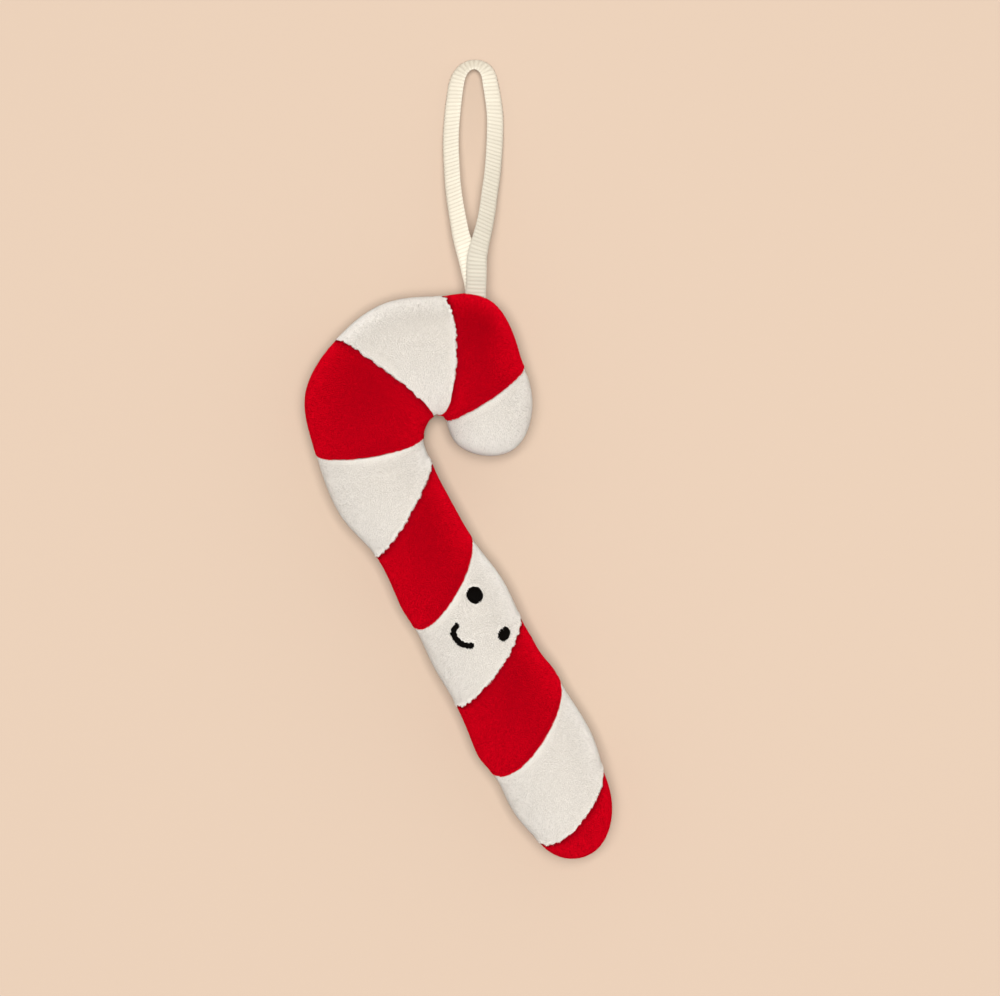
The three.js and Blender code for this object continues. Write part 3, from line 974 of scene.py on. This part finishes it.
def pile_material(dye):
    """The pile: darker at the root, brighter at the tip, each tuft with its own shade."""
    material, tree, shader = principled(dye["name"] + "_pile")
    rise, own, lit = (node(tree, "ShaderNodeAttribute", attribute_name=name, out="Fac")
                      for name in ("rise", "shade", "lit"))
    own = node(tree, "ShaderNodeMapRange", {"Value": own, "To Min": -OWN_SHADE, "To Max": OWN_SHADE})
    # Painted shade: where lit is below 1, beside a seam under the other panel's pile, the colour moves
    # towards the root.
    place = maths(tree, "MULTIPLY_ADD", rise, lit, own, clamped=True)
    colour = mixed(tree, place, dye["root"], dye["tip"])
    finish_shader(tree, shader, colour, None, roughness=0.9, specular=0.0)
    return material


for dye in (RED, WHITE):
    dye["backing"] = cloth_material(dye)
    dye["pile"] = pile_material(dye)
    print("dyed:", dye["backing"].name, dye["pile"].name)

# %% [markdown]
# ## The stitched face
#
# Two eyes and a smile are worked on the seventh panel in black thread. Satin stitch lays threads side by side
# across a shape, each a low arch from one edge to the other, and the pile is pressed down under them. The
# features could be flat patches, but the threads catch the light one by one and give the smile its ragged
# rim. Each stitch is drawn as a line over the cloth, and Geometry Nodes turns every line into a thread.

# %% The face's shapes
FACE_PANEL = 6
FACE_UP = VIEW_ROLL  # the outlines are drawn upright for the camera
EYES = {  # where each eye is, and its outline about that place
    "eye_hook_side": ((-0.01029, -0.00174), [
        (-0.00200, 0.00025), (-0.00132, 0.00160), (-0.00038, 0.00203), (0.00099, 0.00187), (0.00166, 0.00090),
        (0.00192, -0.00037), (0.00149, -0.00141), (0.00033, -0.00200), (-0.00079, -0.00158),
        (-0.00160, -0.00072)]),
    "eye_foot_side": ((-0.00888, -0.01318), [
        (0.00050, 0.00184), (0.00112, 0.00141), (0.00140, 0.00033), (0.00112, -0.00091), (0.00004, -0.00172),
        (-0.00100, -0.00112), (-0.00141, -0.00020), (-0.00075, 0.00100)]),
}
SMILE = [
    (-0.0170, -0.00585), (-0.0184, -0.0063), (-0.0191, -0.00735), (-0.01915, -0.0088), (-0.01855, -0.0102),
    (-0.0175, -0.0113), (-0.01625, -0.0120)]
SMILE_WIDTH = 0.00108
SMILE_ENDS = [(0, 0.6), (0.0003, 1), (0.0008, 1.08), (0.0014, 1)]  # distance from an end, share of the width
SMILE_RAGGED = 0.15  # how far a stitch sticks out, as a share of the width
SMILE_RIM = 0.3  # its stitches are as low as those this far from an eye's middle towards its rim
STITCH_SLANT = math.radians(62)
THREAD_PITCH = 0.00027
FIRST_STITCH, LAST_STITCH = 0.6, 0.3  # the clear edge of an eye before and after its stitches, in pitches
LINE_POINTS = 400


def satin(outline):
    """Stitches side by side across a closed outline, each as its two ends, and how near the rim each lies."""
    way = np.array([math.cos(STITCH_SLANT), math.sin(STITCH_SLANT)])
    side = np.array([-way[1], way[0]])
    over, along = outline @ side, outline @ way
    reach = (over.max() - over.min()) / 2
    first, last = over.min() + THREAD_PITCH * FIRST_STITCH, over.max() - THREAD_PITCH * LAST_STITCH
    stitches = []
    for stop in np.arange(first, last, THREAD_PITCH):
        ends = []
        for i in range(len(outline)):
            before, after = over[i - 1] - stop, over[i] - stop
            if before * after < 0:
                ends.append(along[i - 1] + (along[i] - along[i - 1]) * before / (before - after))
        rim = abs(stop - (over.max() + over.min()) / 2) / reach
        stitches.append((side * stop + way * min(ends), side * stop + way * max(ends), rim))
    return stitches


def corded(line):
    """Short stitches across a line, a little uneven, and wider at its ends."""
    fine, run = measured_curve([(*p, 0) for p in line], LINE_POINTS)
    stitches = []
    for stop in np.arange(0, run[-1], THREAD_PITCH):
        spots = (stop, stop + THREAD_PITCH)
        here, ahead = (np.array([np.interp(spot, run, axis) for axis in fine.T[:2]]) for spot in spots)
        if spots[1] < run[-1]:  # the last stitch lies as the one before it
            way = unit(ahead - here)
        side = np.array([-way[1], way[0]])
        from_end = min(stop, run[-1] - stop)
        swell = float(np.interp(from_end, *zip(*SMILE_ENDS)))
        left, right = SMILE_WIDTH / 2 * swell + dice.uniform(-SMILE_RAGGED, SMILE_RAGGED, 2) * SMILE_WIDTH
        stitches.append((here - side * left, here + side * right, SMILE_RIM))
    return stitches


turn = np.array(Matrix.Rotation(FACE_UP, 2))
stitched = {name: satin(place + np.array(outline) @ turn.T) for name, (place, outline) in EYES.items()}
stitched["smile"] = corded(SMILE)
stitch_ends = np.array([(start, end) for stitches in stitched.values() for start, end, _ in stitches])
print("stitches:", {name: len(stitches) for name, stitches in stitched.items()})

# %% [markdown]
# ## Black thread
#
# Embroidery thread is two plies twisted together, which shows as slanted ridges along every stitch. Modelling
# the plies would cost many faces for half a millimetre. The ridges are a bump instead: a wave along the
# thread, shaken a little by noise so that the fibres look loose.

# %% The thread
THREAD = 0.00040
THREAD_SIDES = 6
THREAD_BLACKS = rgb(3, 2, 1), rgb(9, 6, 5)
TWIST = 0.0006  # one turn of the plies
FRAY_SCALE = 2600.0
FRAY = 5.0  # how far the noise shakes the ridges, in radians


def thread_cloth():
    """Black thread with its twist as a bump."""
    material, tree, shader = principled("black_thread")
    run_at = node(tree, "ShaderNodeAttribute", attribute_name="run_at", out="Fac")
    place = node(tree, "ShaderNodeTexCoord", out="Object")
    fray = node(tree, "ShaderNodeTexNoise", {"Vector": place, "Scale": FRAY_SCALE, "Detail": 2.0}, out="Fac")
    twist = maths(tree, "MULTIPLY", run_at, math.tau / TWIST)
    twist = maths(tree, "SINE", maths(tree, "MULTIPLY_ADD", fray, FRAY, twist))
    bump = {"Height": twist, "Strength": 0.4, "Distance": 0.00004}
    finish_shader(tree, shader, mixed(tree, fray, *THREAD_BLACKS), bump, roughness=0.6, specular=0.02)
    return material


stitch_tree, stitch_sizes = geometry_tree("stitches", Thread="Float", Sides="Int")
line = node(stitch_tree, "GeometryNodeMeshToCurve", {"Mesh": stitch_sizes["Geometry"]}, out="Curve")
radius = maths(stitch_tree, "MULTIPLY", stitch_sizes["Thread"], 0.5)
section = node(stitch_tree, "GeometryNodeCurvePrimitiveCircle",
               {"Resolution": stitch_sizes["Sides"], "Radius": radius}, out="Curve")
tube = node(stitch_tree, "GeometryNodeCurveToMesh",
            {"Curve": line, "Profile Curve": section, "Fill Caps": True}, out="Mesh")
tube = node(stitch_tree, "GeometryNodeSetShadeSmooth", {"Geometry": tube})
close_tree(stitch_tree, tube, thread_cloth())
print("nodes in the stitch tree:", len(stitch_tree.nodes))

# %% Laying the stitches
STITCH_RISE = 0.00055
STITCH_SINK = 0.00020
THREAD_SUNK = 0.3  # how far the thread's middle stays over the line, as a share of its thickness
STITCH_POINTS = 9
DROP_HEIGHT = 0.1  # anywhere above the toy: from here every point is dropped onto the cloth
PILE_PRESSED = (THREAD * 0.35, THREAD * 0.9)  # nearer to a stitch than this is no pile, and beyond this all
LEANS = (0.0, 0.00025, 0.0005)  # how far down the nap a tuft may lean over a stitch


def worked(name, stitches, cloth):
    """The threads of one feature, laid over the cloth."""
    points, edges, run_at = [], [], []
    shares = np.linspace(-1, 1, STITCH_POINTS)
    for start, end, rim in stitches:
        arch = STITCH_RISE * math.sqrt(1 - rim**2) + STITCH_SINK
        for i, share in enumerate(shares):
            x, y = start + (end - start) * (share + 1) / 2
            hit, outwards, _, _ = cloth.ray_cast(Vector((x, y, DROP_HEIGHT)), Vector((0, 0, -1)))
            rise = arch * math.sqrt(1 - share**2) - STITCH_SINK + THREAD * THREAD_SUNK
            points.append(hit + outwards * rise)
            run_at.append(np.linalg.norm(end - start) * (share + 1) / 2)
            if i:
                edges.append((len(points) - 2, len(points) - 1))
    guide = new_object("stitch lines", points, [], edges)
    store(guide.data, "run_at", run_at)
    made = added(name, grown(guide, stitch_tree, Thread=THREAD, Sides=THREAD_SIDES))
    bpy.data.objects.remove(guide)
    outward(made)
    return made


def clear_of_stitches(places, normals):
    """1 where pile may stand, and 0 where it would stand in a stitch or lean over one."""
    start, end = stitch_ends[:, 0], stitch_ends[:, 1]
    span = end - start
    nearest = np.full(len(places), 1.0)
    for lean in LEANS:
        spot = places[:, None, :2] + np.array(NAP[:2]) * lean
        share = np.clip(((spot - start) * span).sum(-1) / (span**2).sum(-1), 0, 1)
        gap = np.linalg.norm(spot - start - share[..., None] * span, axis=-1)
        nearest = np.minimum(nearest, gap.min(1))
    return np.where(normals[:, 2] > 0, smooth_step(nearest, *PILE_PRESSED), 1.0)


print("a stitch rises, mm:", STITCH_RISE / MM)

# %% [markdown]
# ## Pile
#
# Plush is cloth with a short dense pile, brushed one way. At a seam the pile of one panel lies over its
# neighbour: the white pile in uneven clumps, so that its edge is ragged, the red pile more evenly. Hair
# particles would be lost in the export, so Geometry Nodes sows a thin closed spike at each spot of an even
# scatter, leans it with the nap and makes it real. Each spike has only four faces, because there are tens of
# thousands on every panel. The tree is built in four steps: the spike, the way it leans, its size, and the
# map that its colours are laid out on.

# %% One spike, and the way it leans
RANDOM_WAY, RANDOM_SHADE, RANDOM_LENGTH, RANDOM_SPIN = 11, 12, 13, 14  # seeds
CLUMPS_FROM, CLUMPS_TO = 0.36, 0.62  # below the first the noise makes no clump, above the second a full one


def unit_spike(tree):
    """A closed spike, a unit high and a unit across, that knows its own height and its two sides."""
    spike = node(tree, "GeometryNodeMeshCone",
                 {"Vertices": 3, "Side Segments": 1, "Radius Top": 0.0, "Radius Bottom": 0.5, "Depth": 1.0},
                 out="Mesh", fill_type="NGON")
    side, _, height = parts(tree, node(tree, "GeometryNodeInputPosition"))
    return write(tree, write(tree, spike, "rise", height), "side", side)


def clump_lean(tree, sizes):
    """Over a seam neighbouring tufts stick together in clumps, and some clumps lean far over it."""
    fine = maths(tree, "DIVIDE", 1.0, sizes["ClumpSize"])
    clump = node(tree, "ShaderNodeTexNoise", {"Scale": fine, "Detail": 1.0}, out="Fac")
    clump = node(tree, "ShaderNodeMapRange", {"Value": clump, "From Min": CLUMPS_FROM, "From Max": CLUMPS_TO})
    farther = maths(tree, "MULTIPLY", clump, sizes["ClumpLean"])
    return vectors(tree, "SCALE", read(tree, "over", "FLOAT_VECTOR"), farther)


def turned_spike(tree, sizes, outwards, clumped):
    """The turn of each spike: up from the cloth, down with the nap, a little loose, over with its clump."""
    rising = vectors(tree, "SCALE", outwards, vectors(tree, "DOT_PRODUCT", sizes["Nap"], outwards))
    lying = vectors(tree, "SCALE", vectors(tree, "SUBTRACT", sizes["Nap"], rising), sizes["Lean"])
    loose = node(tree, "FunctionNodeRandomValue",
                 {"Min": (-1, -1, -1), "Max": (1, 1, 1), "Seed": RANDOM_WAY}, data_type="FLOAT_VECTOR")
    loose = vectors(tree, "SCALE", loose, sizes["Mess"])
    aim = vectors(tree, "ADD", vectors(tree, "ADD", outwards, lying), loose)
    aim = vectors(tree, "ADD", aim, clumped)
    turned = node(tree, "FunctionNodeAlignRotationToVector", {"Vector": aim}, axis="Z")
    # Each spike is turned about itself as chance has it, so that their flat sides make no pattern.
    spin = node(tree, "FunctionNodeRandomValue", {"Min": 0.0, "Max": math.tau, "Seed": RANDOM_SPIN},
                data_type="FLOAT")
    spin = node(tree, "FunctionNodeAxisAngleToRotation", {"Axis": (0, 0, 1), "Angle": spin})
    return node(tree, "FunctionNodeRotateRotation", {"Rotation": turned, "Rotate By": spin},
                rotation_space="LOCAL")

# %% Its size, and the map for its colours
LENGTHS = (0.9, 1.1)
MAP_SPREAD = 0.04  # how wide one spike lies on the map
PILE_MAP = "OFBake"


def spike_size(tree, sizes, clumped):
    """Its width and length: shorter where the pile is pressed, longer in a clump that leans far."""
    longer = maths(tree, "MULTIPLY_ADD", vectors(tree, "LENGTH", clumped), sizes["ClumpGrowth"],
                   read(tree, "kept"))
    shortest, longest = LENGTHS
    long = node(tree, "FunctionNodeRandomValue", {"Min": shortest, "Max": longest, "Seed": RANDOM_LENGTH},
                data_type="FLOAT")
    long = maths(tree, "MULTIPLY", maths(tree, "MULTIPLY", long, longer), sizes["Length"])
    return node(tree, "ShaderNodeCombineXYZ", {0: sizes["Width"], 1: sizes["Width"], 2: long})


def above_floor(tree, sizes, geometry):
    """The geometry with every point under the floor lifted onto it."""
    x, y, z = parts(tree, node(tree, "GeometryNodeInputPosition"))
    raised = maths(tree, "MAXIMUM", z, sizes["Floor"])
    place = node(tree, "ShaderNodeCombineXYZ", {0: x, 1: y, 2: raised})
    return node(tree, "GeometryNodeSetPosition", {"Geometry": geometry, "Position": place})


def mapped(tree, geometry):
    """A map of shade across and height up, a little spread so that every face has some width on it."""
    across = maths(tree, "MULTIPLY_ADD", read(tree, "side"), MAP_SPREAD, read(tree, "shade"))
    # The painted shade moves the spike's place on the map as well.
    rise = maths(tree, "MULTIPLY", read(tree, "rise"), read(tree, "lit"))
    spread = node(tree, "ShaderNodeCombineXYZ", {0: across, 1: rise, 2: 0.0})
    return write(tree, geometry, PILE_MAP, spread, "FLOAT2", "CORNER")

# %% Sowing
EVEN_SCATTER = 2.4  # how many spots are tried on each square of the spacing


def linked(tree, kind, inputs, **options):
    """Adds a node, links its inputs and returns the node itself, for its several outputs."""
    made = tree.nodes.new(kind)
    for name, value in options.items():
        setattr(made, name, value)
    for name, socket in inputs.items():
        tree.links.new(socket, pick(made.inputs, name))
    return made


def pile_tree(dye):
    """Sows spikes over a cloth: an even scatter that leans with the nap, and nothing under the floor."""
    tree, sizes = geometry_tree("pile " + dye["name"], Spacing="Float", Length="Float", Width="Float",
                                Lean="Float", Mess="Float", ClumpLean="Float", ClumpGrowth="Float",
                                ClumpSize="Float", Nap="Vector", Seed="Int", Floor="Float")
    most = maths(tree, "DIVIDE", EVEN_SCATTER, maths(tree, "MULTIPLY", sizes["Spacing"], sizes["Spacing"]))
    scatter = linked(tree, "GeometryNodeDistributePointsOnFaces",
                     {"Mesh": sizes["Geometry"], "Distance Min": sizes["Spacing"], "Density Max": most,
                      "Density Factor": read(tree, "cover"), "Seed": sizes["Seed"]},
                     distribute_method="POISSON")
    clumped = clump_lean(tree, sizes)
    sown = linked(tree, "GeometryNodeInstanceOnPoints",
                  {"Points": scatter.outputs["Points"], "Instance": unit_spike(tree),
                   "Rotation": turned_spike(tree, sizes, scatter.outputs["Normal"], clumped),
                   "Scale": spike_size(tree, sizes, clumped)})
    shade = node(tree, "FunctionNodeRandomValue", {"Min": 0.0, "Max": 1.0, "Seed": RANDOM_SHADE},
                 data_type="FLOAT")
    marked = write(tree, sown.outputs[0], "shade", shade, domain="INSTANCE")
    real = above_floor(tree, sizes, node(tree, "GeometryNodeRealizeInstances", {0: marked}))
    smooth = node(tree, "GeometryNodeSetShadeSmooth", {"Geometry": mapped(tree, real)})
    close_tree(tree, smooth, dye["pile"])
    return tree


for dye in (RED, WHITE):
    dye["tree"] = pile_tree(dye)
    print("nodes in", dye["tree"].name + ":", len(dye["tree"].nodes))

# %% [markdown]
# ## Sewing the ten panels
#
# Every panel gets its closed cloth shell, and its outer skin is sown with pile. Shell and pile stay two
# pieces, because the shell is stuffed and the pile is not. At a seam one panel's pile lies on top: it leans
# over and keeps most of its length. The pile under it is pressed down, and red pile there is painted nearer
# its dark root colour, a painted shade that makes a thin dark line along the white edge. In the inner corner
# of the hook the red panels close over the white one.

# %% How the pile lies at a seam
EDGE_REACH = 0.0013  # how far from a seam its pile is clumped
EDGE_FULL = 0.0002  # and as near as this all of it is
RED_EVENNESS = 0.45  # red pile leans this much as far over a seam as white pile does
PRESSED = 0.5  # what is left of the height of the pile that lies under the other
SHADED = (0.0003, 0.0010)  # as far as this from the seam, red pile under white is painted nearer its dark root colour, a painted shade
BARE = 0.1  # what is left of the height of white pile in the inner corner of the hook
CLOSING = 0.6  # how far the red panels lean together there


def at_seams(places, index, strength):
    """How far pile leans over the panel's seams, what share of its length it keeps, and how lit it is."""
    over, kept, lit = np.zeros(places.shape), np.ones(len(places)), np.ones(len(places))
    for seam in range(max(index - 1, 0), min(index + 1, len(SEAM_ROWS))):
        row = SEAM_ROWS[seam]
        gaps = np.linalg.norm(places[:, None] - cloth_grid[row], axis=-1)
        gap, column = gaps.min(1), gaps.argmin(1)
        room = seam_rooms[seam][column]
        close = 1 - smooth_step(gap, EDGE_FULL, EDGE_REACH)
        above = UPPER[seam] == index
        lean = (strength if above else 0) * room
        least = FLATTENED * (1 if above else PRESSED) * room
        if index % 2:
            lean += CLOSING * (1 - room)
            least += FLATTENED * (1 - room)
        else:
            least += BARE * (1 - room)
        over += np.where(seam == index, 1, -1) * seam_ahead[row] * (close * lean)[:, None]
        kept = np.minimum(kept, 1 - (1 - least) * (1 - smooth_step(gap, 0, SEAM_REACH)))
        # Painted shade: pile under the other panel's pile is coloured nearer its roots close to the seam.
        if not above:
            lit = np.minimum(lit, 1 - room * (1 - smooth_step(gap, *SHADED)))
    return over, kept, lit


print("dark line beside a white edge, mm wide:", SHADED[1] / MM)

# %% Panels
PILE = {
    "Spacing": 0.00015,
    "Length": 0.0010,
    "Width": 0.00022,
    "Lean": 0.5,
    "Mess": 0.15,
    "ClumpLean": 1.8,  # how much further a clump leans over a seam
    "ClumpGrowth": 0.4,  # how much longer its tufts are for as much of that lean as they stand high
    "ClumpSize": 0.0013,
    "Nap": NAP,
    "Floor": FLOOR_CLEARANCE,
}

panels = []
for index in range(PANELS):
    dye = WHITE if index % 2 == 0 else RED
    number = f"{index + 1:02d}_{'white' if dye is WHITE else 'red'}"
    shell = finished(panel_shell(index, f"cloth_{number}", True), dye["backing"])
    ground = finished(panel_shell(index, "ground", False), dye["backing"])
    places, normals = point_values(ground.data)
    over, kept, lit = at_seams(places, index, 1.0 if dye is WHITE else RED_EVENNESS)
    cover = np.ones(len(places))
    if index == FACE_PANEL:
        cover = clear_of_stitches(places, normals)
        face_cloth = BVHTree.FromPolygons(places.tolist(), [tuple(p.vertices) for p in ground.data.polygons])
    store(ground.data, "cover", cover)
    store(ground.data, "over", over, "FLOAT_VECTOR")
    store(ground.data, "kept", kept)
    # Only red pile keeps this painted shade.
    store(ground.data, "lit", lit if dye is RED else np.ones(len(lit)))
    pile = added(f"pile_{number}", grown(ground, dye["tree"], Seed=index + 1, **PILE))
    bpy.data.objects.remove(ground)
    panels.append((number, dye, shell, pile))
    print(number, "cloth", triangles(shell.data), "pile", triangles(pile.data))

# %% [markdown]
# ## Working the face
#
# The stitches go through pile and cloth alike, so they are laid over the cloth of the seventh panel, not over
# the tips of its pile.

# %% The face is worked
features = {name: worked(f"thread_{name}", stitches, face_cloth) for name, stitches in stitched.items()}
for name, feature in features.items():
    print(name, "triangles", triangles(feature.data))

# %% [markdown]
# ## What each piece stands for
#
# The toy is one sewn piece, so everything rides on its one body. Each cloth shell, each feature of the face
# and the ribbon replaces the solid that held its place. The pile replaces nothing, as it grows on the shells.

# %% Frame calls
for number, dye, shell, pile in panels:
    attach(shell, "root")
    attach(pile, "root")
    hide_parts(f"panel_{number}")

for name, feature in features.items():
    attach(feature, "root")
    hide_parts(name)

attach(ribbon, "root")
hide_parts("ribbon_loop")
print("pieces:", 2 * len(panels) + len(features) + 1)
